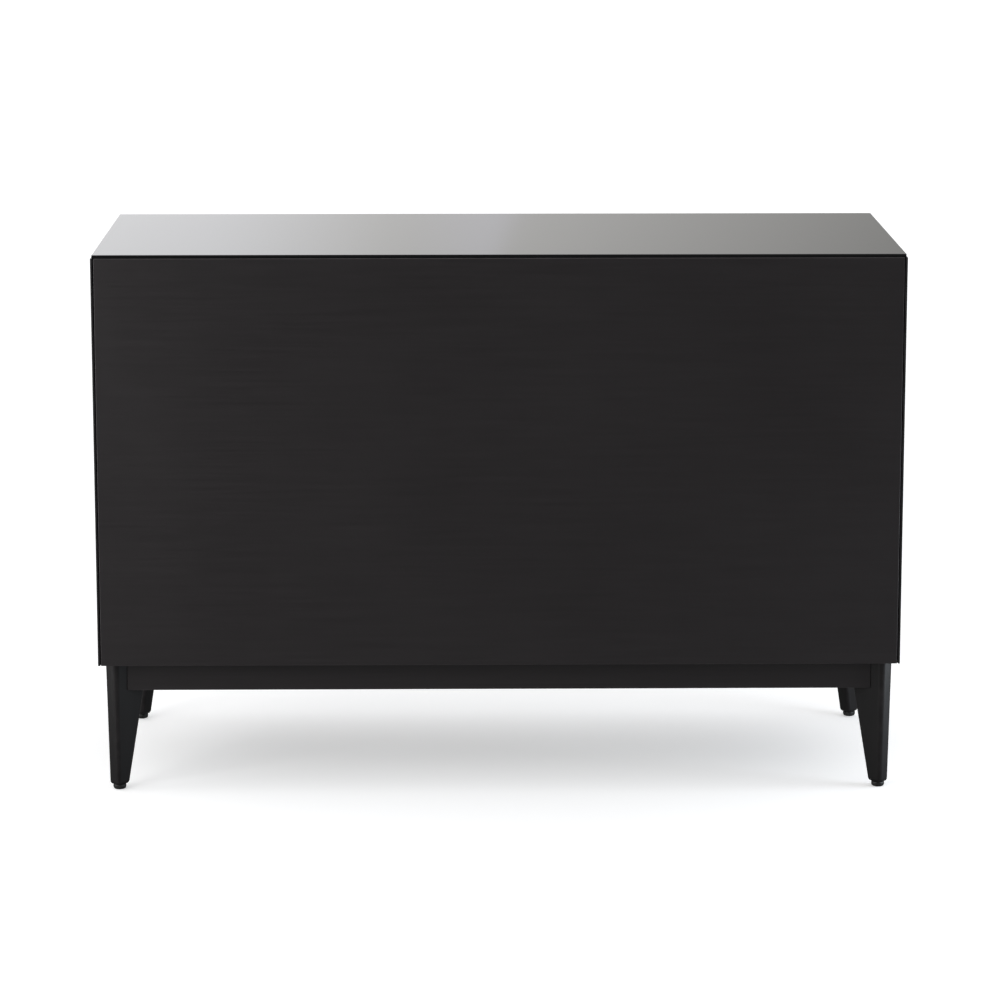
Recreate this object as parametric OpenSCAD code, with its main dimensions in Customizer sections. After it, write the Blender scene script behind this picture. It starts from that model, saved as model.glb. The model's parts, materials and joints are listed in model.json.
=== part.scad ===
// Six-drawer dresser on a recessed base frame with four diagonal tapered legs.
// +Z is up, the drawers open towards -Y, and the origin is on the floor at the centre of the footprint.

/* [Cabinet] */
// Overall width over the two side panels
body_w = 1200; // [1000:10:1400]
// Depth of the cabinet from the drawer fronts to the back panel
body_d = 480; // [470:5:560]
// Overall height from the floor to the face of the top plate
overall_h = 818; // [770:2:900]
// Clear height from the floor to the underside of the cabinet
clear_h = 199; // [180:1:230]
// Thickness of the side, top, bottom and centre boards
board_t = 18; // [16:1:22]
// Thickness of the back panel
back_t = 8; // [6:1:10]
// Thickness of the thin lip that each side panel keeps round the drawer fronts and the back panel
lip_t = 3; // [2:0.5:4]
// Gap between the back panel and the side panels' lips
back_gap = 1.5; // [1:0.5:2.5]

/* [Top plate] */
// Thickness of the glossy plate that lies on the cabinet
plate_t = 5; // [4:0.5:8]
// How far the plate stays inside the outline of the cabinet
plate_inset = 2; // [1:0.5:5]

/* [Drawers] */
// Thickness of a drawer front
front_t = 18; // [16:1:22]
// Gap between neighbouring drawer fronts
front_gap = 3; // [2:0.5:4]
// Gap between a drawer front and the lip or plate beside it
edge_gap = 2; // [1.5:0.5:3]
// Length of a drawer box from front to back
box_l = 420; // [410:5:430]
// Height of the drawer box boards
box_h = 150; // [110:5:150]
// Thickness of the drawer box boards
box_t = 12; // [10:1:14]
// Thickness of the drawer bottom
box_bottom_t = 5; // [4:1:6]
// Diameter of a knob
knob_d = 30; // [24:1:40]
// How far a knob stands out of the drawer front
knob_h = 26; // [22:1:30]
// Length of the telescopic slides
slide_l = 400; // [350:10:400]

/* [Base] */
// Height of the rails of the base frame
apron_h = 45; // [38:1:55]
// Thickness of the rails of the base frame
apron_t = 20; // [16:1:24]
// Distance from the front and back faces of the cabinet in to the base rails
apron_inset_y = 30; // [25:1:35]
// Distance from the sides of the cabinet in to the base rails
apron_inset_x = 21; // [16:1:26]
// Distance from the sides of the cabinet in to the foot axes
foot_inset_x = 26; // [22:1:30]
// Distance from the front and back faces of the cabinet in to the foot axes
foot_inset_y = 35; // [31:1:39]
// Length of a leg's section at the top, along the diagonal
leg_top_l = 68; // [60:1:76]
// Width of a leg's section at the top, across the diagonal
leg_top_w = 27; // [25:1:30]
// Length of a leg's section at its lower end
leg_end_l = 25; // [24:1:30]
// Width of a leg's section at its lower end
leg_end_w = 22; // [21:1:24]
// Diameter of a levelling foot
foot_d = 19.5; // [18:0.5:20]
// Height of a levelling foot's pad
foot_h = 8; // [7:0.5:12]

/* [Hidden] */

$fn = 48;
LEFT = -1;
RIGHT = 1;
FRONT = -1;
BACK = 1;
LOW = 0;
MIDDLE = 1;
TOP = 2;
rows = [LOW, MIDDLE, TOP];
sides = [LEFT, RIGHT];
cut = 1; // how far a cutting shape runs past the face it cuts
joint_gap = 0.1; // glue line between boards of one drawer box
bore_play = 0.05; // radial clearance of pins, screws and studs in their bores

black_lacquer = [0.15, 0.15, 0.15];
black_gloss = [0.09, 0.09, 0.1];
birch = [0.82, 0.71, 0.54];
zinc = [0.72, 0.73, 0.75];
beech = [0.8, 0.68, 0.5];
black_metal = [0.12, 0.12, 0.12];
rubber_black = [0.08, 0.08, 0.08];

// Cabinet faces. The knobs and the back panel are the two ends of the footprint, so the cabinet sits
// half a knob behind the origin.
half_w = body_w / 2;
front_y = (knob_h - body_d) / 2;
back_y = front_y + body_d;
mid_y = (front_y + back_y) / 2;
carcass_top = overall_h - plate_t;
inner_x = half_w - board_t;
front_back_y = front_y + front_t;
bumper_gap = 1; // room for the soft bumpers behind the closed fronts
carcass_front_y = front_back_y + bumper_gap;
carcass_back_y = back_y - back_t;

// Drawer bays, fronts and boxes
bay_w = inner_x - board_t / 2;
bay_x = board_t / 2 + bay_w / 2;
front_w = half_w - lip_t - edge_gap - front_gap / 2;
front_x = front_gap / 2 + front_w / 2;
front_h = (carcass_top - clear_h - edge_gap - 2 * front_gap) / 3;
slide_space = 13; // width that a slide takes between the bay's wall and the box
box_w = bay_w - 2 * slide_space;
box_lift = (front_h - box_h) / 2;
bottom_lift = 8; // the drawer bottom's underside above the lower edge of the box
bottom_groove = 5; // how far the bottom reaches into the box boards
slide_z = box_lift + box_h / 4;
slide_y = carcass_front_y + 2;
knob_spacing = front_w / 2;

// Half of a knob's section, from its foot on the front to its face, in shares of its radius and height
knob_profile = [
  [0, 0], [0.55, 0], [0.44, 0.12], [0.44, 0.4], [0.68, 0.52], [0.92, 0.62],
  [1, 0.74], [1, 0.86], [0.94, 0.94], [0.8, 1], [0, 1]
];

// Profiles of the telescopic slide, each [web start, flange end, half height] from the cabinet wall
metal_t = 1.2; // thickness of the slides' steel
cabinet_slide = [0, 10.2, 22.8];
middle_slide = [2.4, 11, 18];
drawer_slide = [4.8, slide_space, 13.5];
slide_screw_y = [40, slide_l / 2, slide_l - 40]; // along the cabinet's channel
drawer_screw_y = [60, slide_l - 60]; // along the drawer's channel

// Fasteners
dowel_d = 8;
dowel_l = 26;
dowel_short = 10; // depth in a board's face
dowel_skin = 5; // depth in the thin back panel
dowel_chamfer = 1;
depth_steps = [-0.4, 0, 0.4]; // dowels along the depth of the cabinet, as shares of it
width_steps = [-0.4, -0.15, 0.15, 0.4]; // dowels along the back panel, as shares of the width
rail_steps = [-0.36, -0.12, 0.12, 0.36]; // dowels along the long rails, as shares of the width
side_rail_steps = [-0.2, 0.2]; // dowels along the short rails, as shares of the depth
screw_d = 3.5;
screw_l = 9.7;
screw_head_d = 7;
screw_head_t = 0.8;
knob_screw_d = 4;
knob_screw_depth = 13; // how far a knob's screw goes into the knob
knob_screw_head_t = 2.4;
knob_screw_room = 0.5; // play of a knob's screw in the box and the front
bolt_d = 8;

// Base
foot_x = half_w - foot_inset_x;
foot_half_y = body_d / 2 - foot_inset_y;
foot_edge = 2.4; // how far the foot's upper and lower edges are rounded in
foot_turn = 0.7; // and the size of the first step of that rounding
leg_end_z = foot_h + 0.5; // the leg stays this little above the foot's pad
leg_slope = 17.8; // how far the leg's section moves in along the diagonal from foot to top
leg_nose_r = 9;
leg_heel_r = 4;
leg_end_r = 6.5;
leg_chamfer = 3; // how far the leg's lower edges are cut in
leg_chamfer_h = 4.5; // and how high up
leg_facets = 32; // sides of each round corner's circle
leg_slab = 0.01; // thickness of the sections that a leg is hulled from
leg_stud_depth = 34; // depth of the bore for the foot's stud
foot_stud_l = 30;
mitre_gap = 0.2;
apron_z = clear_h - apron_h;
apron_y = body_d / 2 - apron_inset_y;
apron_x = half_w - apron_inset_x;
bracket_t = 2.5;
bracket_h = 38;
bracket_reach = 49;
bracket_flange = 26;
bracket_screw_step = 10; // the bracket's screws sit this far above and below its middle
bracket_mid_z = clear_h - apron_h / 2;
bracket_corner = [apron_x - apron_t, apron_y - apron_t];
bracket_s = (bracket_corner[0] + bracket_corner[1] - bracket_reach - foot_x - foot_half_y) / sqrt(2);
bolt_l = 52;
bolt_tail = 14; // what stands out behind the bracket for the nut
bolt_end_s = bracket_s - bracket_t - bolt_tail;
nut_t = 6.5;
nut_across = 13;

// ---- Helpers ----

module block(low, high) {
  translate(low)
    cube(high - low);
}

// A shape on the right-hand side, or its mirror image on the left
module on_side(side) {
  mirror([side == LEFT ? 1 : 0, 0, 0])
    children();
}

// The right-hand back corner's shape, moved to any corner by mirroring it about the cabinet's middle
module at_corner(side, end) {
  translate([0, mid_y, 0])
    mirror([0, end == FRONT ? 1 : 0, 0])
      on_side(side)
        children();
}

// A shape drawn along +Z at the origin, placed at a point so that +Z points along dir
module aim(point, dir) {
  translate(point)
    rotate([0, acos(dir[2]), atan2(dir[1], dir[0])])
      children();
}

// ---- Fasteners: each row is [point, direction], and the same row drills the boards ----

// From a side panel's inner face into the ends of the sub-top and the bottom panel
function side_dowels(side) = [
  for (z = [clear_h + board_t / 2, carcass_top - board_t / 2])
    for (step = depth_steps)
      [[side * (inner_x + dowel_short), mid_y + step * body_d, z], [-side, 0, 0]]
];

// From the sub-top and the bottom panel into the ends of the centre divider
function divider_dowels() = [
  for (step = depth_steps)
    for (up = [1, -1])
      [
        [0, mid_y + step * body_d, up > 0 ? carcass_top - board_t + dowel_short
          : clear_h + board_t - dowel_short],
        [0, 0, -up]
      ]
];

// From the back panel into the rear edges of the sub-top, the bottom panel and the divider
function back_dowels() = concat(
  [
    for (z = [clear_h + board_t / 2, carcass_top - board_t / 2])
      for (step = width_steps)
        [[step * body_w, carcass_back_y + dowel_skin, z], [0, -1, 0]]
  ],
  [for (part = [1 / 3, 2 / 3])
    [[0, carcass_back_y + dowel_skin, clear_h + part * (carcass_top - clear_h)], [0, -1, 0]]]
);

// From the bottom panel down into the four base rails
function apron_dowels() = concat(
  [
    for (end = [FRONT, BACK])
      for (step = rail_steps)
        [[step * body_w, mid_y + end * (apron_y - apron_t / 2), clear_h + dowel_short], [0, 0, -1]]
  ],
  [
    for (side = sides)
      for (step = side_rail_steps)
        [[side * (apron_x - apron_t / 2), mid_y + step * body_d, clear_h + dowel_short], [0, 0, -1]]
  ]
);

module place_all(places) {
  for (place = places)
    aim(place[0], place[1])
      children();
}

module dowel_bores(places) {
  place_all(places)
    cylinder(h = dowel_l, d = dowel_d + 2 * bore_play);
}

module dowel() {
  r = dowel_d / 2;
  c = dowel_chamfer;
  rotate_extrude()
    polygon([[0, 0], [r - c, 0], [r, c], [r, dowel_l - c], [r - c, dowel_l], [0, dowel_l]]);
}

// Slide screws of one cabinet wall: wall_x is the wall's face and into is the way into the board
function slide_screws(wall_x, into) = [
  for (row = rows)
    for (y = slide_screw_y)
      [[wall_x - into * metal_t, slide_y + y, front_z(row) + slide_z], [into, 0, 0]]
];

// The two screws in each flange of the bracket at the right-hand back corner
function bracket_screws() = [
  for (step = [-bracket_screw_step, bracket_screw_step])
    for (along = [[0, 1], [1, 0]])
      let (
        reach = bracket_reach + bracket_flange / 2,
        x = bracket_corner[0] - (along[0] > 0 ? bracket_t : reach),
        y = bracket_corner[1] - (along[1] > 0 ? bracket_t : reach)
      )
      [[x, y, bracket_mid_z + step], [along[0], along[1], 0]]
];

module screw() {
  translate([0, 0, -screw_head_t])
    cylinder(h = screw_head_t, d = screw_head_d);
  cylinder(h = screw_l, d = screw_d);
}

module screw_bores(places) {
  place_all(places)
    translate([0, 0, -cut])
      cylinder(h = screw_l + cut, d = screw_d + 2 * bore_play);
}

// ---- Cabinet ----

module side_panel(side) {
  color(black_lacquer)
    difference() {
      on_side(side)
        difference() {
          block([inner_x, front_y, clear_h], [half_w, back_y, carcass_top]);
          block(
            [inner_x - cut, front_y - cut, clear_h - cut],
            [half_w - lip_t, carcass_front_y, carcass_top + cut]
          );
          block(
            [inner_x - cut, carcass_back_y, clear_h - cut],
            [half_w - lip_t, back_y + cut, carcass_top + cut]
          );
        }
      dowel_bores(side_dowels(side));
      screw_bores(slide_screws(side * inner_x, side));
    }
}

module side_panel_left() {
  side_panel(LEFT);
}

module side_panel_right() {
  side_panel(RIGHT);
}

module bottom_panel() {
  color(black_lacquer)
    difference() {
      block([-inner_x, carcass_front_y, clear_h], [inner_x, carcass_back_y, clear_h + board_t]);
      dowel_bores(concat(side_dowels(LEFT), side_dowels(RIGHT), divider_dowels(), back_dowels()));
      dowel_bores(apron_dowels());
    }
}

module sub_top() {
  color(black_lacquer)
    difference() {
      block([-inner_x, carcass_front_y, carcass_top - board_t], [inner_x, carcass_back_y, carcass_top]);
      dowel_bores(concat(side_dowels(LEFT), side_dowels(RIGHT), divider_dowels(), back_dowels()));
    }
}

module centre_divider() {
  color(black_lacquer)
    difference() {
      block(
        [-board_t / 2, carcass_front_y, clear_h + board_t],
        [board_t / 2, carcass_back_y, carcass_top - board_t]
      );
      dowel_bores(concat(divider_dowels(), back_dowels()));
      for (side = sides)
        screw_bores(slide_screws(side * board_t / 2, -side));
    }
}

module back_panel() {
  reach = half_w - lip_t - back_gap;
  color(black_lacquer)
    difference() {
      block([-reach, carcass_back_y, clear_h], [reach, back_y, carcass_top]);
      dowel_bores(back_dowels());
    }
}

module top_plate() {
  color(black_gloss)
    block(
      [-half_w + plate_inset, front_y + plate_inset, carcass_top],
      [half_w - plate_inset, back_y - plate_inset, overall_h]
    );
}

module dowels() {
  color(beech)
    place_all(concat(
      side_dowels(LEFT), side_dowels(RIGHT), divider_dowels(), back_dowels(), apron_dowels()
    ))
      dowel();
}

// ---- Telescopic slides ----

function front_z(row) = clear_h + row * (front_h + front_gap);

// One channel of a slide, lying on a wall in the YZ plane at x = 0 and opening towards +X
module slide_channel(profile, web_x) {
  start = profile[0];
  end = profile[1];
  half_h = profile[2];
  block([web_x, 0, -half_h], [web_x + metal_t, slide_l, half_h]);
  for (up = [half_h - metal_t, -half_h])
    block([start, 0, up], [end, slide_l, up + metal_t]);
}

module slide_holes(web_x, places) {
  for (y = places)
    translate([web_x - cut, y, 0])
      rotate([0, 90, 0])
        cylinder(h = metal_t + 2 * cut, d = screw_d + 2 * bore_play);
}

// Both slides of one bay: drawn once from each wall of the bay, in the column of the given side
module in_bay(side, row) {
  translate([side * bay_x, slide_y, front_z(row) + slide_z])
    for (wall = sides)
      mirror([wall == RIGHT ? 1 : 0, 0, 0])
        translate([-bay_w / 2, 0, 0])
          children();
}

module cabinet_slides() {
  color(zinc)
    for (side = sides)
      for (row = rows)
        in_bay(side, row)
          difference() {
            slide_channel(cabinet_slide, 0);
            slide_holes(0, slide_screw_y);
          }
}

module middle_slides(side, row) {
  color(zinc)
    in_bay(side, row)
      slide_channel(middle_slide, middle_slide[0]);
}

module drawer_slides(side, row) {
  web_x = slide_space - metal_t;
  color(zinc)
    in_bay(side, row) {
      difference() {
        slide_channel(drawer_slide, web_x);
        slide_holes(web_x, drawer_screw_y);
      }
      for (y = drawer_screw_y)
        translate([web_x, y, 0])
          rotate([0, 90, 0])
            screw();
    }
}

module slide_and_bracket_screws() {
  color(zinc) {
    for (side = sides) {
      place_all(slide_screws(side * inner_x, side))
        screw();
      place_all(slide_screws(side * board_t / 2, -side))
        screw();
      for (end = [FRONT, BACK])
        at_corner(side, end)
          place_all(bracket_screws())
            screw();
    }
  }
}

// ---- Drawers ----

// The column's and row's own place: origin at the middle of the bay, on the drawer front's inner face
module at_drawer(side, row) {
  translate([side * bay_x, front_back_y, front_z(row)])
    children();
}

// Knob screws run from inside the drawer, through the box and the front, into the knobs
module knob_axes(side, row) {
  for (step = [-0.5, 0.5])
    translate([side * front_x + step * knob_spacing, front_back_y, front_z(row) + front_h / 2])
      rotate([90, 0, 0])
        children();
}

module knob_screw_bores(side, row) {
  knob_axes(side, row)
    translate([0, 0, -box_t - cut])
      cylinder(h = box_t + front_t + 2 * cut, d = knob_screw_d + knob_screw_room);
}

module drawer_front(side, row) {
  color(black_lacquer)
    difference() {
      translate([side * front_x - front_w / 2, front_y, front_z(row)])
        cube([front_w, front_t, front_h]);
      knob_screw_bores(side, row);
    }
}

module drawer_box(side, row) {
  inner_w = box_w - 2 * box_t - 2 * joint_gap;
  groove_z = box_lift + bottom_lift;
  color(birch)
    difference() {
      at_drawer(side, row)
        difference() {
          union() {
            for (x = [-box_w / 2, box_w / 2 - box_t])
              translate([x, 0, box_lift])
                cube([box_t, box_l, box_h]);
            for (y = [0, box_l - box_t])
              translate([-inner_w / 2, y, box_lift])
                cube([inner_w, box_t, box_h]);
          }
          translate([-box_w / 2 + box_t - bottom_groove, box_t - bottom_groove, groove_z])
            cube([box_w - 2 * (box_t - bottom_groove), box_l - 2 * (box_t - bottom_groove), box_bottom_t]);
        }
      knob_screw_bores(side, row);
      in_bay(side, row)
        translate([slide_space - cut, 0, 0])
          for (y = drawer_screw_y)
            translate([0, y, 0])
              rotate([0, 90, 0])
                cylinder(h = screw_l - metal_t + cut, d = screw_d + 2 * bore_play);
    }
}

module drawer_bottom(side, row) {
  reach = box_t - bottom_groove;
  color(birch)
    at_drawer(side, row)
      translate([-box_w / 2 + reach, reach, box_lift + bottom_lift])
        cube([box_w - 2 * reach, box_l - 2 * reach, box_bottom_t]);
}

module knobs(side, row) {
  bore_end = 1; // room past the end of the screw
  color(black_metal)
    knob_axes(side, row)
      translate([0, 0, front_t])
        difference() {
          rotate_extrude()
            polygon([for (point = knob_profile) [point[0] * knob_d / 2, point[1] * knob_h]]);
          translate([0, 0, -cut])
            cylinder(h = knob_screw_depth + bore_end + cut, d = knob_screw_d + 2 * bore_play);
        }
  color(zinc)
    knob_axes(side, row) {
      translate([0, 0, -box_t])
        cylinder(h = box_t + front_t + knob_screw_depth, d = knob_screw_d);
      translate([0, 0, -box_t - knob_screw_head_t])
        cylinder(h = knob_screw_head_t, d = 2 * knob_screw_d);
    }
}

// ---- Base ----

// The leg at the right-hand back corner, in its own frame: origin on the foot axis, +X out along the diagonal
module in_leg_frame() {
  translate([foot_x, foot_half_y, 0])
    rotate([0, 0, 45])
      children();
}

// One level of the leg: four round corners of a section, from its heel at the inside to its nose
module leg_level(z, centre, l, w, nose_r, heel_r) {
  for (v = [-1, 1]) {
    translate([centre + l / 2 - nose_r, v * (w / 2 - nose_r), z])
      cylinder(h = leg_slab, r = nose_r, $fn = leg_facets);
    translate([centre - l / 2 + heel_r, v * (w / 2 - heel_r), z])
      cylinder(h = leg_slab, r = heel_r, $fn = leg_facets);
  }
}

module leg(side, end) {
  stud_bore_d = bolt_d + 2 * bore_play;
  color(black_lacquer)
    at_corner(side, end)
      in_leg_frame()
        difference() {
          hull() {
            leg_level(clear_h - leg_slab, -leg_slope, leg_top_l, leg_top_w, leg_nose_r, leg_heel_r);
            leg_level(leg_end_z + leg_chamfer_h, 0, leg_end_l, leg_end_w, leg_end_r, leg_end_r);
            leg_level(
              leg_end_z, 0, leg_end_l - 2 * leg_chamfer, leg_end_w - 2 * leg_chamfer,
              leg_end_r - leg_chamfer, leg_end_r - leg_chamfer
            );
          }
          translate([0, 0, leg_end_z - cut])
            cylinder(h = leg_stud_depth + cut, d = stud_bore_d);
          translate([bolt_end_s, 0, bracket_mid_z])
            rotate([0, 90, 0])
              cylinder(h = bolt_l + 1, d = stud_bore_d);
        }
}

// A rail between two legs along +X, with its outer face at the given distance from the centre line. Its
// ends are mitred to lie along the flanks of the legs.
module long_apron(end) {
  flank = foot_x - foot_half_y - (leg_top_w / 2 + mitre_gap) * sqrt(2);
  outer = apron_y;
  inner = apron_y - apron_t;
  color(black_lacquer)
    difference() {
      translate([0, mid_y, apron_z])
        mirror([0, end == FRONT ? 1 : 0, 0])
          linear_extrude(apron_h)
            polygon([
              [-flank - outer, outer], [-flank - inner, inner], [flank + inner, inner], [flank + outer, outer]
            ]);
      dowel_bores(apron_dowels());
      apron_screw_bores();
    }
}

module side_apron(side) {
  flank = foot_half_y - foot_x - (leg_top_w / 2 + mitre_gap) * sqrt(2);
  outer = apron_x;
  inner = apron_x - apron_t;
  color(black_lacquer)
    difference() {
      translate([0, mid_y, apron_z])
        on_side(side)
          linear_extrude(apron_h)
            polygon([
              [outer, -flank - outer], [inner, -flank - inner], [inner, flank + inner], [outer, flank + outer]
            ]);
      dowel_bores(apron_dowels());
      apron_screw_bores();
    }
}

module apron_screw_bores() {
  for (side = sides)
    for (end = [FRONT, BACK])
      at_corner(side, end)
        screw_bores(bracket_screws());
}

// Folded steel plates across the corners of the base, behind the legs
module corner_brackets() {
  a = bracket_reach;
  f = bracket_reach + bracket_flange;
  t = bracket_t;
  fold = t * (sqrt(2) - 1);
  color(zinc)
    for (side = sides)
      for (end = [FRONT, BACK])
        at_corner(side, end)
          difference() {
            translate([bracket_corner[0], bracket_corner[1], bracket_mid_z - bracket_h / 2])
              linear_extrude(bracket_h)
                polygon([
                  [-f, 0], [-a, 0], [0, -a], [0, -f],
                  [-t, -f], [-t, -a - fold], [-a - fold, -t], [-f, -t]
                ]);
            screw_bores(bracket_screws());
            in_leg_frame()
              translate([bracket_s - bracket_t - cut, 0, bracket_mid_z])
                rotate([0, 90, 0])
                  cylinder(h = bracket_t + 2 * cut, d = bolt_d + 1);
          }
}

// A stud from each leg through its bracket, with a hexagon nut behind the bracket
module leg_bolts() {
  color(zinc)
    for (side = sides)
      for (end = [FRONT, BACK])
        at_corner(side, end)
          in_leg_frame() {
            translate([bolt_end_s, 0, bracket_mid_z])
              rotate([0, 90, 0])
                cylinder(h = bolt_l, d = bolt_d);
            translate([bracket_s - bracket_t - nut_t, 0, bracket_mid_z])
              rotate([0, 90, 0])
                difference() {
                  cylinder(h = nut_t, d = nut_across / cos(30), $fn = 6);
                  translate([0, 0, -cut])
                    cylinder(h = nut_t + 2 * cut, d = bolt_d + 2 * bore_play);
                }
          }
}

// A levelling foot: a round pad moulded on a threaded stud that screws up into the leg
module foot(side, end) {
  r = foot_d / 2;
  color(rubber_black)
    at_corner(side, end)
      in_leg_frame() {
        rotate_extrude()
          polygon([
            [0, 0], [r - foot_edge, 0], [r - foot_turn, foot_turn], [r, foot_edge],
            [r, foot_h - foot_edge], [r - foot_turn, foot_h - foot_turn], [r - foot_edge, foot_h], [0, foot_h]
          ]);
        translate([0, 0, foot_h - cut])
          cylinder(h = foot_stud_l + cut, d = bolt_d);
      }
}

side_panel_left();
side_panel_right();
bottom_panel();
sub_top();
centre_divider();
back_panel();
top_plate();
cabinet_slides();
slide_and_bracket_screws();
dowels();
leg(LEFT, FRONT);  // leg_front_left
leg(RIGHT, FRONT);  // leg_front_right
leg(LEFT, BACK);  // leg_back_left
leg(RIGHT, BACK);  // leg_back_right
long_apron(FRONT);  // apron_front
long_apron(BACK);  // apron_back
side_apron(LEFT);  // apron_left
side_apron(RIGHT);  // apron_right
corner_brackets();
leg_bolts();
foot(LEFT, FRONT);  // foot_front_left
foot(RIGHT, FRONT);  // foot_front_right
foot(LEFT, BACK);  // foot_back_left
foot(RIGHT, BACK);  // foot_back_right

drawer_front(LEFT, TOP);  // top_left_front
drawer_box(LEFT, TOP);  // top_left_box
drawer_bottom(LEFT, TOP);  // top_left_bottom
knobs(LEFT, TOP);  // top_left_knobs
drawer_slides(LEFT, TOP);  // top_left_drawer_slides
middle_slides(LEFT, TOP);  // top_left_middle_slides
drawer_front(RIGHT, TOP);  // top_right_front
drawer_box(RIGHT, TOP);  // top_right_box
drawer_bottom(RIGHT, TOP);  // top_right_bottom
knobs(RIGHT, TOP);  // top_right_knobs
drawer_slides(RIGHT, TOP);  // top_right_drawer_slides
middle_slides(RIGHT, TOP);  // top_right_middle_slides
drawer_front(LEFT, MIDDLE);  // middle_left_front
drawer_box(LEFT, MIDDLE);  // middle_left_box
drawer_bottom(LEFT, MIDDLE);  // middle_left_bottom
knobs(LEFT, MIDDLE);  // middle_left_knobs
drawer_slides(LEFT, MIDDLE);  // middle_left_drawer_slides
middle_slides(LEFT, MIDDLE);  // middle_left_middle_slides
drawer_front(RIGHT, MIDDLE);  // middle_right_front
drawer_box(RIGHT, MIDDLE);  // middle_right_box
drawer_bottom(RIGHT, MIDDLE);  // middle_right_bottom
knobs(RIGHT, MIDDLE);  // middle_right_knobs
drawer_slides(RIGHT, MIDDLE);  // middle_right_drawer_slides
middle_slides(RIGHT, MIDDLE);  // middle_right_middle_slides
drawer_front(LEFT, LOW);  // low_left_front
drawer_box(LEFT, LOW);  // low_left_box
drawer_bottom(LEFT, LOW);  // low_left_bottom
knobs(LEFT, LOW);  // low_left_knobs
drawer_slides(LEFT, LOW);  // low_left_drawer_slides
middle_slides(LEFT, LOW);  // low_left_middle_slides
drawer_front(RIGHT, LOW);  // low_right_front
drawer_box(RIGHT, LOW);  // low_right_box
drawer_bottom(RIGHT, LOW);  // low_right_bottom
knobs(RIGHT, LOW);  // low_right_knobs
drawer_slides(RIGHT, LOW);  // low_right_drawer_slides
middle_slides(RIGHT, LOW);  // low_right_middle_slides
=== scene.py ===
"""A black six-drawer dresser, seen from behind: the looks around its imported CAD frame."""

import json
import math

import bmesh
import bpy
from mathutils import Matrix, Vector


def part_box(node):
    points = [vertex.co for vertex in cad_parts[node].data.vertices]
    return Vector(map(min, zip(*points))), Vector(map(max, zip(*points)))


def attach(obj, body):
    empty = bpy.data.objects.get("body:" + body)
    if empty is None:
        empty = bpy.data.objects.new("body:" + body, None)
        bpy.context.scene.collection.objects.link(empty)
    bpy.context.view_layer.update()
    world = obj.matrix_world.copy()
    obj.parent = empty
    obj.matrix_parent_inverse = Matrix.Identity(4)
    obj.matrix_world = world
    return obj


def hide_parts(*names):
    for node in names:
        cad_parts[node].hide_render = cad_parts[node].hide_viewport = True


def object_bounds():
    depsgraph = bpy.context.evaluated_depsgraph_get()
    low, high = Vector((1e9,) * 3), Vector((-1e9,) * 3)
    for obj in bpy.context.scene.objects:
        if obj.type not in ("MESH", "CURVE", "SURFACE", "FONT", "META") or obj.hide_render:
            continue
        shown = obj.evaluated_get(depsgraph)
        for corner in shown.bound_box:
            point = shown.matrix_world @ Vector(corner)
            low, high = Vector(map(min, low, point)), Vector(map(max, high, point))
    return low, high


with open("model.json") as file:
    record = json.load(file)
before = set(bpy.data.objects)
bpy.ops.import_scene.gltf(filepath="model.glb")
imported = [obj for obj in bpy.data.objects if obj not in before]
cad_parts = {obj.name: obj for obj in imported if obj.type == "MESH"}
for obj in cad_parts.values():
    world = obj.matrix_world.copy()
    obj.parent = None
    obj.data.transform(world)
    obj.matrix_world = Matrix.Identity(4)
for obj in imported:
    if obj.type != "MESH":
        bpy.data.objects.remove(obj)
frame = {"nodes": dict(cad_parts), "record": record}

CAD_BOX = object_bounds()
RECORD = frame["record"]
BODIES = RECORD["behaviour"]["bodies"]
BODY_OF = {node: body for body, nodes in BODIES.items() for node in nodes}
DRAWERS = [f"{row}_{side}" for row in ("top", "middle", "low") for side in ("left", "right")]
CORNERS = [f"{end}_{side}" for end in ("front", "back") for side in ("left", "right")]

MM = 0.001
SHARP_ANGLE = math.radians(40)
PLY = 1.5 * MM
FLOOR_GLOW = 0.42
FLOOR_BOUNCE = (0.52, 0.52, 0.52)
FLOOR_IN_GLOSS = 0.15  # how bright the floor is in a reflection
FLOOR_AHEAD = (0.06, 0.30)  # what the floor before the drawers adds to that, from +X to -X
FLOOR_BEHIND = 0.12  # what the strip of floor behind the dresser adds to it


# ---- Node helpers ----


def new_material(name):
    material = bpy.data.materials.new(name)
    material.use_nodes = True
    tree = material.node_tree
    return material, tree, tree.nodes["Principled BSDF"]


def add_node(tree, kind, values=None, links=None, **settings):
    """A new node with its settings, its sockets' values and what is linked into them."""
    node = tree.nodes.new(kind)
    for key, value in settings.items():
        setattr(node, key, value)
    for socket, value in (values or {}).items():
        node.inputs[socket].default_value = value
    for socket, source in (links or {}).items():
        tree.links.new(source, node.inputs[socket])
    return node


def object_coordinates(tree, scale=(1, 1, 1)):
    """The piece's own coordinates in metres, scaled along each axis."""
    where = add_node(tree, "ShaderNodeTexCoord").outputs["Object"]
    return add_node(tree, "ShaderNodeMapping", {"Scale": scale}, {"Vector": where}).outputs["Vector"]


def noise(tree, vector, scale, detail=3.0, roughness=0.5, distortion=0.0):
    values = {"Scale": scale, "Detail": detail, "Roughness": roughness, "Distortion": distortion}
    return add_node(tree, "ShaderNodeTexNoise", values, {"Vector": vector}).outputs["Fac"]


def span(tree, source, low, high, from_low=0.3, from_high=0.7):
    """Maps a noise's usual range onto low to high."""
    values = {"From Min": from_low, "From Max": from_high, "To Min": low, "To Max": high}
    return add_node(tree, "ShaderNodeMapRange", values, {"Value": source}).outputs["Result"]


def combine(tree, operation, first, second):
    """One arithmetic node; either side is a socket or a number."""
    node = add_node(tree, "ShaderNodeMath", operation=operation)
    for index, term in enumerate((first, second)):
        if isinstance(term, (int, float)):
            node.inputs[index].default_value = term
        else:
            tree.links.new(term, node.inputs[index])
    return node.outputs["Value"]


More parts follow.
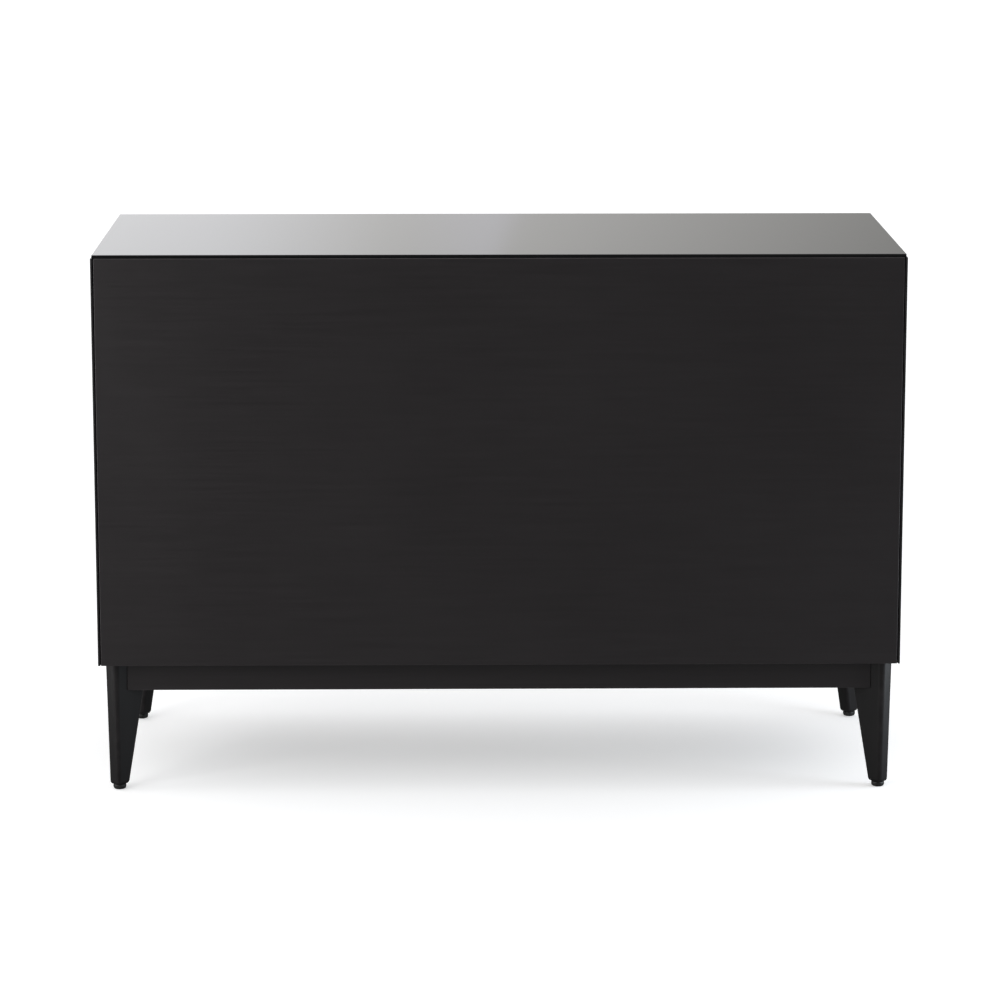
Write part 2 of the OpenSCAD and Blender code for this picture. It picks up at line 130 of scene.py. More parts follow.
def blend_colours(tree, factor, first, second):
    """first where the factor is 0 and second where it is 1; each a colour or a socket."""
    node = add_node(tree, "ShaderNodeMix", data_type="RGBA")
    tree.links.new(factor, node.inputs["Factor"])
    for socket, colour in ((node.inputs[6], first), (node.inputs[7], second)):
        if isinstance(colour, tuple):
            socket.default_value = (*colour, 1)
        else:
            tree.links.new(colour, socket)
    return node.outputs[2]


def bump(tree, height, distance, strength=1.0, normal=None):
    node = add_node(tree, "ShaderNodeBump", {"Strength": strength, "Distance": distance}, {"Height": height})
    if normal is not None:
        tree.links.new(normal, node.inputs["Normal"])
    return node.outputs["Normal"]


def eased_edges(tree):
    """Up to 1 on the rounded edges that the mesh code marks, 0 on the flats."""
    return add_node(tree, "ShaderNodeAttribute", attribute_name="eased").outputs["Fac"]


def grain_stretch(axis, along, across):
    """A scale that draws a noise out along one axis, so that it reads as grain."""
    return tuple(along if index == axis else across for index in range(3))


# ---- Materials ----


def black_lacquer(name, axis, depth=1.0, sheen=0.5, worn=0.034):
    """Satin black lacquer on a board: soft sheen, an orange-peel skin and a grain that only just shows.
    A smaller depth darkens its whole tone, which the side panels and legs use as painted shade. Worn is the
    paler tone on its rounded edges: rubbed wear and a painted highlight, mostly painted highlight on the
    legs."""
    material, tree, shader = new_material(name)
    where = object_coordinates(tree)
    along = object_coordinates(tree, grain_stretch(axis, 2.2, 70))
    grain = noise(tree, along, 3.0, 6, 0.62, 0.35)
    cloud = noise(tree, where, 3.5, 3)
    smudge = noise(tree, where, 34, 4, 0.6)
    peel = noise(tree, where, 620, 2)
    handled = span(tree, noise(tree, where, 55, 4), 0.25, 1, 0.35, 0.65)
    # the rounded edges, paler in patches: wear and a painted highlight
    rubbed_and_highlit = combine(tree, "MULTIPLY", eased_edges(tree), handled)

    def tinted(level):
        return tuple(depth * level * part for part in (1.04, 0.88, 0.94))

    tone = blend_colours(tree, span(tree, grain, 0, 1), tinted(0.0128), tinted(0.0168))
    tone = blend_colours(tree, span(tree, cloud, 0, 0.5), tone, tinted(0.0165))
    # painted highlight and wear: the rounded edges take the paler worn tone
    tone = blend_colours(tree, rubbed_and_highlit, tone, tinted(worn))
    tree.links.new(tone, shader.inputs["Base Color"])
    rough = combine(tree, "ADD", span(tree, cloud, 0.37, 0.42), span(tree, smudge, -0.012, 0.012))
    rough = combine(tree, "ADD", rough, span(tree, grain, -0.02, 0.03))
    tree.links.new(rough, shader.inputs["Roughness"])
    skin = bump(tree, peel, 0.00008, 0.45)
    tree.links.new(bump(tree, grain, 0.00022, 0.40, skin), shader.inputs["Normal"])
    shader.inputs["Specular IOR Level"].default_value = sheen
    return material


def glass_plate(name):
    """Black back-painted glass: a clean reflection, thinned by faint wiping marks and dust."""
    material, tree, shader = new_material(name)
    where = object_coordinates(tree)
    wiped = noise(tree, where, 2.2, 4, 0.55, 0.5)
    specks = noise(tree, where, 900, 1)
    dust = span(tree, specks, 0, 1, 0.68, 0.78)
    dust = combine(tree, "MULTIPLY", dust, span(tree, noise(tree, where, 7, 3), 0, 0.35, 0.4, 0.7))
    tone = blend_colours(tree, dust, (0.0030, 0.0030, 0.0034), (0.05, 0.05, 0.052))
    tree.links.new(tone, shader.inputs["Base Color"])
    rough = combine(tree, "ADD", span(tree, wiped, 0.050, 0.062), combine(tree, "MULTIPLY", dust, 0.15))
    tree.links.new(rough, shader.inputs["Roughness"])
    ripple = noise(tree, where, 3, 1)
    tree.links.new(bump(tree, ripple, 0.0002, 0.03), shader.inputs["Normal"])
    shader.inputs["IOR"].default_value = 1.52
    return material


def clear_wood(name, axis, pale, dark, fleck):
    """Clear-finished wood: growth lines along one axis, short dark pores and slow changes of colour."""
    material, tree, shader = new_material(name)
    along = object_coordinates(tree, grain_stretch(axis, 1, 16))
    wander = noise(tree, along, 2.4, 4, 0.55, 0.6)
    rings = combine(tree, "FRACT", combine(tree, "MULTIPLY", wander, 9.0), 0)
    rings = span(tree, combine(tree, "PINGPONG", rings, 0.5), 0, 1, 0, 0.5)
    pores = noise(tree, object_coordinates(tree, grain_stretch(axis, 26, 900)), 1.0, 2)
    pores = span(tree, pores, 0, 1, 0.60, 0.72)
    fibre = noise(tree, object_coordinates(tree, grain_stretch(axis, 9, 420)), 1.0, 4)
    cloud = noise(tree, object_coordinates(tree), 5, 2)
    tone = blend_colours(tree, span(tree, rings, 0, 0.75, 0, 1), pale, dark)
    tone = blend_colours(tree, span(tree, fibre, 0, 0.35), tone, dark)
    tone = blend_colours(tree, span(tree, cloud, 0, 0.3), tone, pale)
    tone = blend_colours(tree, combine(tree, "MULTIPLY", pores, 0.55), tone, fleck)
    tree.links.new(tone, shader.inputs["Base Color"])
    tree.links.new(span(tree, fibre, 0.42, 0.55), shader.inputs["Roughness"])
    skin = bump(tree, fibre, 0.00008, 0.4)
    tree.links.new(bump(tree, pores, -0.0001, 0.4, skin), shader.inputs["Normal"])
    shader.inputs["Specular IOR Level"].default_value = 0.4
    return material


def plywood_edge(name, across, pale, dark):
    """The cut edge of plywood: thin plies, turned pale and dark by their grain, with a soft fibre."""
    material, tree, shader = new_material(name)
    where = object_coordinates(tree)
    parts = add_node(tree, "ShaderNodeSeparateXYZ", {}, {0: where})
    wobble = span(tree, noise(tree, where, 14, 2), -PLY * 0.12, PLY * 0.12)
    level = combine(tree, "ADD", parts.outputs[across], wobble)
    plies = combine(tree, "PINGPONG", combine(tree, "DIVIDE", level, PLY), 1.0)
    fibre = noise(tree, object_coordinates(tree, grain_stretch(1 - across, 30, 700)), 1.0, 3)
    tone = blend_colours(tree, span(tree, plies, 0, 1, 0.42, 0.58), pale, dark)
    tone = blend_colours(tree, span(tree, fibre, 0, 0.45), tone, dark)
    tree.links.new(tone, shader.inputs["Base Color"])
    tree.links.new(span(tree, fibre, 0.45, 0.6), shader.inputs["Roughness"])
    tree.links.new(bump(tree, fibre, 0.0001, 0.5), shader.inputs["Normal"])
    shader.inputs["Specular IOR Level"].default_value = 0.35
    return material


def powder_coat(name):
    """Black powder coat on a cast knob: an even fine grain with a soft sheen, polished a little by hands."""
    material, tree, shader = new_material(name)
    where = object_coordinates(tree)
    grit = noise(tree, where, 1500, 2)
    handled = noise(tree, where, 45, 3)
    tone = blend_colours(tree, span(tree, handled, 0, 1), (0.014, 0.014, 0.014), (0.026, 0.025, 0.024))
    tree.links.new(tone, shader.inputs["Base Color"])
    tree.links.new(span(tree, handled, 0.24, 0.38), shader.inputs["Roughness"])
    tree.links.new(bump(tree, grit, 0.00008, 0.4), shader.inputs["Normal"])
    return material


def zinc_plate(name):
    """Bright zinc on steel rolled along Y, with a faint blue and yellow passivation and dulled spots."""
    material, tree, shader = new_material(name)
    where = object_coordinates(tree)
    rolled = noise(tree, object_coordinates(tree, (900, 14, 900)), 1.0, 3)
    tint = noise(tree, where, 18, 2)
    spots = span(tree, noise(tree, where, 240, 3), 0, 1, 0.58, 0.72)
    tone = blend_colours(tree, span(tree, tint, 0, 1), (0.50, 0.53, 0.58), (0.60, 0.58, 0.50))
    tone = blend_colours(tree, combine(tree, "MULTIPLY", spots, 0.5), tone, (0.34, 0.34, 0.35))
    tree.links.new(tone, shader.inputs["Base Color"])
    rough = combine(tree, "ADD", span(tree, rolled, 0.24, 0.36), combine(tree, "MULTIPLY", spots, 0.14))
    tree.links.new(rough, shader.inputs["Roughness"])
    tree.links.new(bump(tree, rolled, 0.00003, 0.4), shader.inputs["Normal"])
    shader.inputs["Metallic"].default_value = 1.0
    return material


def moulded_plastic(name, tone, worn, roughness):
    """Moulded plastic or rubber: a spark-eroded skin, scuffed paler here and there."""
    material, tree, shader = new_material(name)
    where = object_coordinates(tree)
    skin = noise(tree, where, 1100, 2)
    scuff = span(tree, noise(tree, where, 160, 4, 0.65), 0, 1, 0.52, 0.7)
    tree.links.new(blend_colours(tree, scuff, tone, worn), shader.inputs["Base Color"])
    tree.links.new(span(tree, scuff, roughness, roughness + 0.15, 0, 1), shader.inputs["Roughness"])
    tree.links.new(bump(tree, skin, 0.0001, 0.35), shader.inputs["Normal"])
    return material


def floor_paint(name):
    """The pale studio floor, lit a little from below like a light table, so that its shadows stay soft.
    Only the camera sees it white. To the dresser it is grey, as for a black object cut out of its photo."""
    material, tree, shader = new_material(name)
    where = object_coordinates(tree)
    cloud = noise(tree, where, 1.3, 3)
    tone = blend_colours(tree, span(tree, cloud, 0, 1), (0.77, 0.77, 0.77), (0.79, 0.79, 0.79))
    tree.links.new(tone, shader.inputs["Base Color"])
    tree.links.new(span(tree, cloud, 0.8, 0.9), shader.inputs["Roughness"])
    shader.inputs["Specular IOR Level"].default_value = 0.2
    shader.inputs["Emission Color"].default_value = (1, 1, 1, 1)
    shader.inputs["Emission Strength"].default_value = FLOOR_GLOW
    path = add_node(tree, "ShaderNodeLightPath")
    matt = add_node(tree, "ShaderNodeBsdfDiffuse", {"Color": (*FLOOR_BOUNCE, 1)})
    parts = add_node(tree, "ShaderNodeSeparateXYZ", {}, {0: where})
    x, y = parts.outputs["X"], parts.outputs["Y"]
    ahead = span(tree, y, 1, 0, -1.2, 0.1)
    aside = span(tree, x, FLOOR_AHEAD[1], FLOOR_AHEAD[0], -2.0, 2.0)
    glow = combine(tree, "ADD", combine(tree, "MULTIPLY", ahead, aside), FLOOR_IN_GLOSS)
    behind = combine(tree, "MULTIPLY", span(tree, y, 0, 1, 0.30, 0.40), span(tree, y, 1, 0, 0.6, 1.3))
    glow = combine(tree, "ADD", glow, combine(tree, "MULTIPLY", behind, FLOOR_BEHIND))
    mirrored = add_node(tree, "ShaderNodeEmission", {"Color": (1, 1, 1, 1)}, {"Strength": glow})
    links = {0: path.outputs["Is Glossy Ray"], 1: matt.outputs[0], 2: mirrored.outputs[0]}
    unseen = add_node(tree, "ShaderNodeMixShader", {}, links)
    links = {0: path.outputs["Is Camera Ray"], 1: unseen.outputs[0], 2: shader.outputs[0]}
    floor = add_node(tree, "ShaderNodeMixShader", {}, links)
    tree.links.new(floor.outputs[0], tree.nodes["Material Output"].inputs["Surface"])
    return material


LACQUER_ALONG_X = black_lacquer("black_lacquer_along_x", 0)
LACQUER_ALONG_Y = black_lacquer("black_lacquer_along_y", 1)
LACQUER_ALONG_Z = black_lacquer("black_lacquer_along_z", 2)
# Painted shade: the side panels take a darker copy of the lacquer, so that their thin lips read as shaded.
SHADED_SIDE_LACQUER = black_lacquer("side_lacquer_painted_shade_along_z", 2, 0.3)
# Painted shade and highlight: the legs take a darker copy of the lacquer for their shaded flanks, and a
# paler tone on their rounded edges as their highlight.
SHADED_LEG_LACQUER = black_lacquer("leg_lacquer_painted_shade_and_highlight_along_z", 2, 0.3, sheen=0.39, worn=0.050)
PLATE_GLASS = glass_plate("black_plate_glass")
BIRCH = ((0.66, 0.51, 0.34), (0.50, 0.35, 0.21), (0.26, 0.16, 0.09))
PLIES = ((0.58, 0.43, 0.27), (0.34, 0.21, 0.11))
BIRCH_ALONG_X = clear_wood("birch_along_x", 0, *BIRCH)
BIRCH_ALONG_Y = clear_wood("birch_along_y", 1, *BIRCH)
PLIES_ACROSS_X = plywood_edge("plywood_edge_across_x", 0, *PLIES)
PLIES_ACROSS_Y = plywood_edge("plywood_edge_across_y", 1, *PLIES)
BEECH = clear_wood("beech", 2, (0.60, 0.42, 0.26), (0.50, 0.32, 0.18), (0.25, 0.13, 0.07))
KNOB_COAT = powder_coat("black_powder_coat")
ZINC = zinc_plate("bright_zinc")
FOOT_PLASTIC = moulded_plastic("foot_plastic", (0.009, 0.009, 0.009), (0.035, 0.034, 0.033), 0.42)
GREY_PLASTIC = moulded_plastic("grey_plastic", (0.20, 0.20, 0.21), (0.30, 0.30, 0.31), 0.40)
BUMPER_RUBBER = moulded_plastic("bumper_rubber", (0.42, 0.42, 0.41), (0.55, 0.55, 0.54), 0.25)
FLOOR = floor_paint("studio_floor")


# ---- Mesh helpers ----


def make_object(name, bm, *materials):
    """A new object from a bmesh, in the CAD's frame, its flats kept flat beside its rounded edges."""
    bmesh.ops.remove_doubles(bm, verts=bm.verts, dist=1e-7)
    bmesh.ops.recalc_face_normals(bm, faces=bm.faces)
    mesh = bpy.data.meshes.new(name)
    bm.to_mesh(mesh)
    bm.free()
    mesh.shade_smooth()
    mesh.set_sharp_from_angle(angle=SHARP_ANGLE)
    for material in materials:
        mesh.materials.append(material)
    piece = bpy.data.objects.new(name, mesh)
    bpy.context.scene.collection.objects.link(piece)
    weighted = piece.modifiers.new("flat_faces", "WEIGHTED_NORMAL")
    weighted.weight = 100
    weighted.keep_sharp = True
    return piece


def stand_for(piece, *nodes):
    """The piece is shown in place of these CAD nodes, on their body."""
    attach(piece, BODY_OF[nodes[0]])
    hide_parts(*nodes)


def add_detail(piece, body):
    """The piece is a detail that the CAD leaves out."""
    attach(piece, body)


def ease(bm, edges, radius, segments=3):
    """Rounds the edges and marks the new faces, so that the material knows them."""
    layer = bm.faces.layers.float.get("eased") or bm.faces.layers.float.new("eased")
    rounded = bmesh.ops.bevel(
        bm, geom=edges, offset=radius, offset_type="OFFSET", segments=segments, profile=0.5,
        affect="EDGES", clamp_overlap=True,
    )
    for face in rounded["faces"]:
        face[layer] = 1.0


def new_edges(bm, faces):
    return list({edge for face in faces for edge in face.edges})


def add_board(bm, low, high, radius, segments=3):
    """A board between two corners, with eased edges."""
    made = bmesh.ops.create_cube(bm, size=1)
    size = Vector(high) - Vector(low)
    middle = (Vector(high) + Vector(low)) / 2
    for vertex in made["verts"]:
        vertex.co = Vector(a * b for a, b in zip(vertex.co, size)) + middle
    edges = list({edge for vertex in made["verts"] for edge in vertex.link_edges})
    ease(bm, edges, radius, segments)


def add_prism(bm, outline, low, high, radius, up=2):
    """An outline drawn in the plane across the up axis and pulled from low to high, with eased edges."""
    first, second = [axis for axis in range(3) if axis != up]

    def place(point, height):
        at = [0.0, 0.0, 0.0]
        at[first], at[second], at[up] = point[0], point[1], height
        return bm.verts.new(at)

    base = [place(point, low) for point in outline]
    top = [place(point, high) for point in outline]
    faces = [bm.faces.new(base), bm.faces.new(list(reversed(top)))]
    count = len(outline)
    for index in range(count):
        after = (index + 1) % count
        faces.append(bm.faces.new((base[index], top[index], top[after], base[after])))
    if radius:
        ease(bm, new_edges(bm, faces), radius)


def add_lathe(bm, profile, matrix, steps=48):
    """A turned shape, closed at both ends: (radius, height) points swept about +Z, placed by the matrix."""
    rings = []
    for radius, height in profile:
        ring = []
        for step in range(steps if radius else 1):  # a point on the axis is one vertex
            angle = 2 * math.pi * step / steps
            point = Vector((radius * math.cos(angle), radius * math.sin(angle), height))
            ring.append(bm.verts.new(matrix @ point))
        rings.append(ring)
    for lower, upper in zip(rings, rings[1:]):
        for step in range(steps):
            after = (step + 1) % steps
            corners = [
                lower[step % len(lower)], lower[after % len(lower)],
                upper[after % len(upper)], upper[step % len(upper)],
            ]
            unique = [v for i, v in enumerate(corners) if v not in corners[:i]]
            if len(unique) > 2:
                bm.faces.new(unique)
    for end in (rings[0], rings[-1]):
        if len(end) > 1:
            bm.faces.new(end)


def rounded_profile(points, radius, steps=4):
    """A lathe profile or path with its inner corners turned into short arcs."""
    out = [points[0]]
    for before, here, after in zip(points, points[1:], points[2:]):
        corner = Vector(here)
        back = Vector(before) - corner
        ahead = Vector(after) - corner
        cut = min(radius, back.length * 0.48, ahead.length * 0.48)
        start = corner + back.normalized() * cut
        end = corner + ahead.normalized() * cut
        for step in range(steps + 1):
            t = step / steps
            out.append(tuple(start * (1 - t) ** 2 + corner * 2 * t * (1 - t) + end * t ** 2))
    out.append(points[-1])
    return out


def sheet_outline(path, thickness):
    """The closed outline of a bent sheet whose middle follows a 2D path."""
    points = [Vector(point) for point in path]
    left, right = [], []
    for index, point in enumerate(points):
        before = points[max(index - 1, 0)]
        after = points[min(index + 1, len(points) - 1)]
        normals = []
        for start, end in ((before, point), (point, after)):
            if (end - start).length > 1e-9:
                run = (end - start).normalized()
                normals.append(Vector((-run.y, run.x)))
        mitre = sum(normals, Vector((0, 0))).normalized()
        stretch = thickness / 2 / max(mitre.dot(normals[0]), 0.5)
        left.append(tuple(point + mitre * stretch))
        right.append(tuple(point - mitre * stretch))
    return left + right[::-1]


def middle_of(node):
    low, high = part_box(node)
    return (low + high) / 2


def axis_matrix(point, direction):
    """Takes +Z to the direction, at the point."""
    return Matrix.Translation(point) @ Vector(direction).to_track_quat("Z", "Y").to_matrix().to_4x4()


def add_cross_head(bm, matrix, radius, height, depth):
    """A low round screw head with a cross recess, its seat at the origin and its top towards +Z."""
    steps = 24
    arm, half = radius * 0.55, radius * 0.13
    cross = [
        (half, half), (half, arm), (-half, arm), (-half, half), (-arm, half), (-arm, -half),
        (-half, -half), (-half, -arm), (half, -arm), (half, -half), (arm, -half), (arm, half),
    ]
    rim = 0.78 * radius

    def ring(points, level):
        return [bm.verts.new(matrix @ Vector((x, y, level))) for x, y in points]

    def circle(size):
        angles = [2 * math.pi * step / steps for step in range(steps)]
        return [(size * math.cos(angle), size * math.sin(angle)) for angle in angles]

    seat = ring(circle(radius), 0)
    edge = ring(circle(radius), height * 0.35)
    top = ring(circle(rim), height)
    mouth = ring(cross, height)
    floor = ring([(x * 0.7, y * 0.7) for x, y in cross], height - depth)
    for lower, upper in ((seat, edge), (edge, top), (mouth, floor)):
        for index in range(len(lower)):
            after = (index + 1) % len(lower)
            bm.faces.new((lower[index], lower[after], upper[after], upper[index]))
    bm.faces.new(seat)
    bm.faces.new(floor)
    edges = []
    for loop in (top, mouth):
        for index in range(len(loop)):
            edges.append(bm.edges.get((loop[index], loop[(index + 1) % len(loop)])))
    bmesh.ops.triangle_fill(bm, edges=edges, use_beauty=True)


# ---- Cabinet boards ----

LIP = 3 * MM  # the side panels' thickness beside the fronts and the back panel


def make_side_panel(side):
    """A side panel: full thickness between the fronts and the back panel, and a thin lip round both."""
    node = f"side_panel_{side}"
    low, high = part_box(node)
    front_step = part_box("sub_top")[0].y
    back_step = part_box("back_panel")[0].y
    outer, inner = (high.x, low.x) if side == "right" else (low.x, high.x)
    lip = outer - math.copysign(LIP, outer)
    outline = [
        (outer, low.y), (lip, low.y), (lip, front_step), (inner, front_step),
        (inner, back_step), (lip, back_step), (lip, high.y), (outer, high.y),
    ]
    bm = bmesh.new()
    add_prism(bm, outline, low.z, high.z, 0.7 * MM)
    stand_for(make_object(f"{node}_board", bm, SHADED_SIDE_LACQUER), node)


def make_board(node, material, radius):
    bm = bmesh.new()
    add_board(bm, *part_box(node), radius)
    stand_for(make_object(f"{node}_board", bm, material), node)


def make_cabinet_boards():
    for side in ("left", "right"):
        make_side_panel(side)
    make_board("back_panel", LACQUER_ALONG_X, 1.0 * MM)
    make_board("bottom_panel", LACQUER_ALONG_X, 0.6 * MM)
    make_board("sub_top", LACQUER_ALONG_X, 0.6 * MM)
    make_board("centre_divider", LACQUER_ALONG_Z, 0.6 * MM)
    make_board("top_plate", PLATE_GLASS, 0.8 * MM)


# ---- Base ----

# Length and width of a leg's section, and the radii of its long edges, at its top and at its lower end
LEG_TOP = (68 * MM, 27 * MM)
LEG_END = (25 * MM, 22 * MM)
LEG_NOSE_TOP = 9 * MM
LEG_HEEL_TOP = 4 * MM
LEG_EDGE_END = 6.5 * MM
LEG_STEPS = 8  # faces round each long edge
LEG_SLOPE = 17.8 * MM  # how far the section moves in along the diagonal from foot to top
LEG_END_ROUND = (3 * MM, 4.5 * MM)  # how far in and how high up the lower edge is rounded
LEG_END_STEPS = 5
APRON_T = 20 * MM
FOOT_PAD = 8 * MM
STUD_R = 4 * MM
THREAD_PITCH = 1.25 * MM
THREAD_DEPTH = 0.5 * MM
BRACKET_T = 2.5 * MM
BRACKET_REACH = 49 * MM  # from the corner of the rails to the diagonal fold
BRACKET_FLANGE = 26 * MM
# Along the diagonal from a foot's axis: the inner end of the leg's stud, and the seat of its nut
STUD_END = -72.4 * MM
STUD_LENGTH = 52 * MM
NUT_SEAT = -58.4 * MM
NUT_R = 7.5 * MM
NUT_T = 6.5 * MM


def leg_ring(size, nose, heel, centre, steps):
    """One section of a leg, from its rounded nose at +X to its heel, as points in the leg's own frame."""
    length, width = size
    points = []
    corners = (
        (1, 1, nose, 0), (-1, 1, heel, 90), (-1, -1, heel, 180), (1, -1, nose, 270),
    )
    for out, across, radius, start in corners:
        x = centre + out * (length / 2 - radius)
        y = across * (width / 2 - radius)
        for step in range(steps + 1):
            angle = math.radians(start + 90 * step / steps)
            points.append((x + radius * math.cos(angle), y + radius * math.sin(angle)))
    return points


def between(first, second, share):
    return first + (second - first) * share


def leg_frame(corner):
    """The matrix of a leg's own frame: origin under its foot, and +X out along the diagonal."""
    foot = middle_of(f"foot_{corner}")
    along_y = math.copysign(1, foot.y - middle_of("top_plate").y)
    turn = math.atan2(along_y, math.copysign(1, foot.x))
    return Matrix.Translation((foot.x, foot.y, 0)) @ Matrix.Rotation(turn, 4, "Z")


def leg_levels(low, high):
    """Heights of a leg's sections, each with how far the rounding of the lower edge draws it in."""
    inward, upward = LEG_END_ROUND
    levels = []
    for step in range(LEG_END_STEPS + 1):
        angle = math.radians(90 * step / LEG_END_STEPS)
        levels.append((low + upward * (1 - math.cos(angle)), inward * (1 - math.sin(angle))))
    return levels + [(between(low, high, share), 0) for share in (0.25, 0.5, 0.75, 1)]


def make_leg(corner):
    """A diagonal leg, lofted from a long section under the cabinet to a short rounded end over its foot."""
    node = f"leg_{corner}"
    low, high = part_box(node)
    place = leg_frame(corner)
    bm = bmesh.new()
    layer = bm.faces.layers.float.new("eased")
    rings = []
    for z, inset in leg_levels(low.z, high.z):
        share = (z - low.z) / (high.z - low.z)
        size = tuple(between(a, b, share) - 2 * inset for a, b in zip(LEG_END, LEG_TOP))
        nose = between(LEG_EDGE_END, LEG_NOSE_TOP, share) - inset
        heel = between(LEG_EDGE_END, LEG_HEEL_TOP, share) - inset
        ring = leg_ring(size, nose, heel, -LEG_SLOPE * share, LEG_STEPS)
        rings.append([bm.verts.new(place @ Vector((x, y, z))) for x, y in ring])
    for lower, upper in zip(rings, rings[1:]):
        for index in range(len(lower)):
            after = (index + 1) % len(lower)
            side = bm.faces.new((lower[index], lower[after], upper[after], upper[index]))
            step = index % (LEG_STEPS + 1)
            if step < LEG_STEPS:  # on a rounded edge, where the painted highlight is strongest at its middle
                side[layer] = math.sin(math.pi * (step + 0.5) / LEG_STEPS)
    bm.faces.new(rings[0])
    bm.faces.new(rings[-1])
    stand_for(make_object(f"{node}_wood", bm, SHADED_LEG_LACQUER), node)


def make_apron(name):
    """A base rail with its ends mitred along the legs' flanks: the box gives its outer face's two ends."""
    node = f"apron_{name}"
    low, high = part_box(node)
    if name in ("front", "back"):
        outer, inner = (high.y, high.y - APRON_T) if name == "back" else (low.y, low.y + APRON_T)
        outline = [(low.x, outer), (low.x + APRON_T, inner), (high.x - APRON_T, inner), (high.x, outer)]
        material = LACQUER_ALONG_X
    else:
        outer, inner = (high.x, high.x - APRON_T) if name == "right" else (low.x, low.x + APRON_T)
        outline = [(outer, low.y), (inner, low.y + APRON_T), (inner, high.y - APRON_T), (outer, high.y)]
        material = LACQUER_ALONG_Y
    bm = bmesh.new()
    add_prism(bm, outline, low.z, high.z, 1.0 * MM)
    stand_for(make_object(f"{node}_rail", bm, material), node)


def make_foot(corner):
    """A levelling foot: a smooth pad with a moulded grip band, on a threaded stud."""
    node = f"foot_{corner}"
    centre = middle_of(node)
    low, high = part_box(node)
    radius = (high.x - low.x) / 2
    place = Matrix.Translation((centre.x, centre.y, 0))
    bm = bmesh.new()
    profile = [
        (0, 0), (radius - 3.6 * MM, 0), (radius - 3.2 * MM, 0.3 * MM), (radius - 1.1 * MM, 0.9 * MM),
        (radius, 3.0 * MM), (radius, FOOT_PAD - 1.2 * MM), (radius - 0.4 * MM, FOOT_PAD - 0.4 * MM),
        (radius - 1.2 * MM, FOOT_PAD), (STUD_R, FOOT_PAD),
    ]
    add_lathe(bm, rounded_profile(profile, 1.2 * MM), place)
    thread = [(STUD_R, FOOT_PAD - 1 * MM)]
    turns = int((high.z - FOOT_PAD) / THREAD_PITCH) - 1
    for turn in range(turns):
        z = FOOT_PAD + THREAD_PITCH * (turn + 0.5)
        thread += [(STUD_R - THREAD_DEPTH, z), (STUD_R, z + THREAD_PITCH / 2)]
    thread += [(STUD_R - 0.8 * MM, high.z), (0, high.z)]
    add_lathe(bm, thread, place, 24)
    stand_for(make_object(f"{node}_pad", bm, FOOT_PLASTIC), node)


def plan_corners(node):
    """The four corners of a node's box in plan: each one's x and y, and their signs."""
    low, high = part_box(node)
    for sx, x in ((-1, low.x), (1, high.x)):
        for sy, y in ((-1, low.y), (1, high.y)):
            yield x, y, sx, sy


def make_brackets():
    """Folded steel plates across the base's corners, with rounded folds."""
    low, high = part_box("corner_brackets")
    reach, end, half = BRACKET_REACH, BRACKET_REACH + BRACKET_FLANGE, BRACKET_T / 2
    path = [(-end, -half), (-reach, -half), (-half, -reach), (-half, -end)]
    outline = sheet_outline(rounded_profile(path, 5 * MM), BRACKET_T)
    bm = bmesh.new()
    for corner_x, corner_y, sx, sy in plan_corners("corner_brackets"):
        placed = [(corner_x + sx * x, corner_y + sy * y) for x, y in outline]
        add_prism(bm, placed, low.z, high.z, 0.4 * MM)
    stand_for(make_object("corner_bracket_plates", bm, ZINC), "corner_brackets")


def make_leg_bolts():
    """Threaded studs through the brackets, each with a chamfered hexagon nut."""
    height = middle_of("leg_bolts").z
    along = Matrix.Rotation(math.pi / 2, 4, "Y")
    thread = [(0, 0), (STUD_R - 0.8 * MM, 0)]
    for turn in range(int(STUD_LENGTH / THREAD_PITCH) - 1):
        z = THREAD_PITCH * (turn + 0.5)
        thread += [(STUD_R, z), (STUD_R - THREAD_DEPTH, z + THREAD_PITCH / 2)]
    thread += [(STUD_R - 0.8 * MM, STUD_LENGTH), (0, STUD_LENGTH)]
    chamfer = NUT_R * 0.86
    nut = [
        (STUD_R, 0), (chamfer, 0), (NUT_R, 1 * MM),
        (NUT_R, NUT_T - 1 * MM), (chamfer, NUT_T), (STUD_R, NUT_T),
    ]
    bm = bmesh.new()
    for corner in CORNERS:
        place = leg_frame(corner)
        add_lathe(bm, thread, place @ Matrix.Translation((STUD_END, 0, height)) @ along, 24)
        add_lathe(bm, nut, place @ Matrix.Translation((NUT_SEAT - NUT_T, 0, height)) @ along, 6)
    stand_for(make_object("leg_studs_and_nuts", bm, ZINC), "leg_bolts")


def make_base():
    for corner in CORNERS:
        make_leg(corner)
        make_foot(corner)
    for name in ("front", "back", "left", "right"):
        make_apron(name)
    make_brackets()
    make_leg_bolts()


# ---- Drawers ----

BOX_BOARD = 12 * MM
KNOB_SCREW = (4 * MM, 2.4 * MM, 1.4 * MM)  # radius and height of its head, and depth of the cross
BUMPER_R = 3.5 * MM
BUMPER_FROM_SIDE = 7 * MM  # from a front's edge at the cabinet's side
BUMPER_FROM_MIDDLE = 3.7 * MM  # and from its edge at the centre divider
BUMPER_FROM_END = 12 * MM  # and from its upper and lower edges


def make_drawer_front(drawer):
    node = f"{drawer}_front"
    bm = bmesh.new()
    add_board(bm, *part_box(node), 1.2 * MM)
    stand_for(make_object(f"{node}_board", bm, LACQUER_ALONG_X), node)


def show_plies(bm):
    """Gives the upward faces the second material."""
    bm.normal_update()
    for face in bm.faces:
        if face.normal.z > 0.6:
            face.material_index = 1


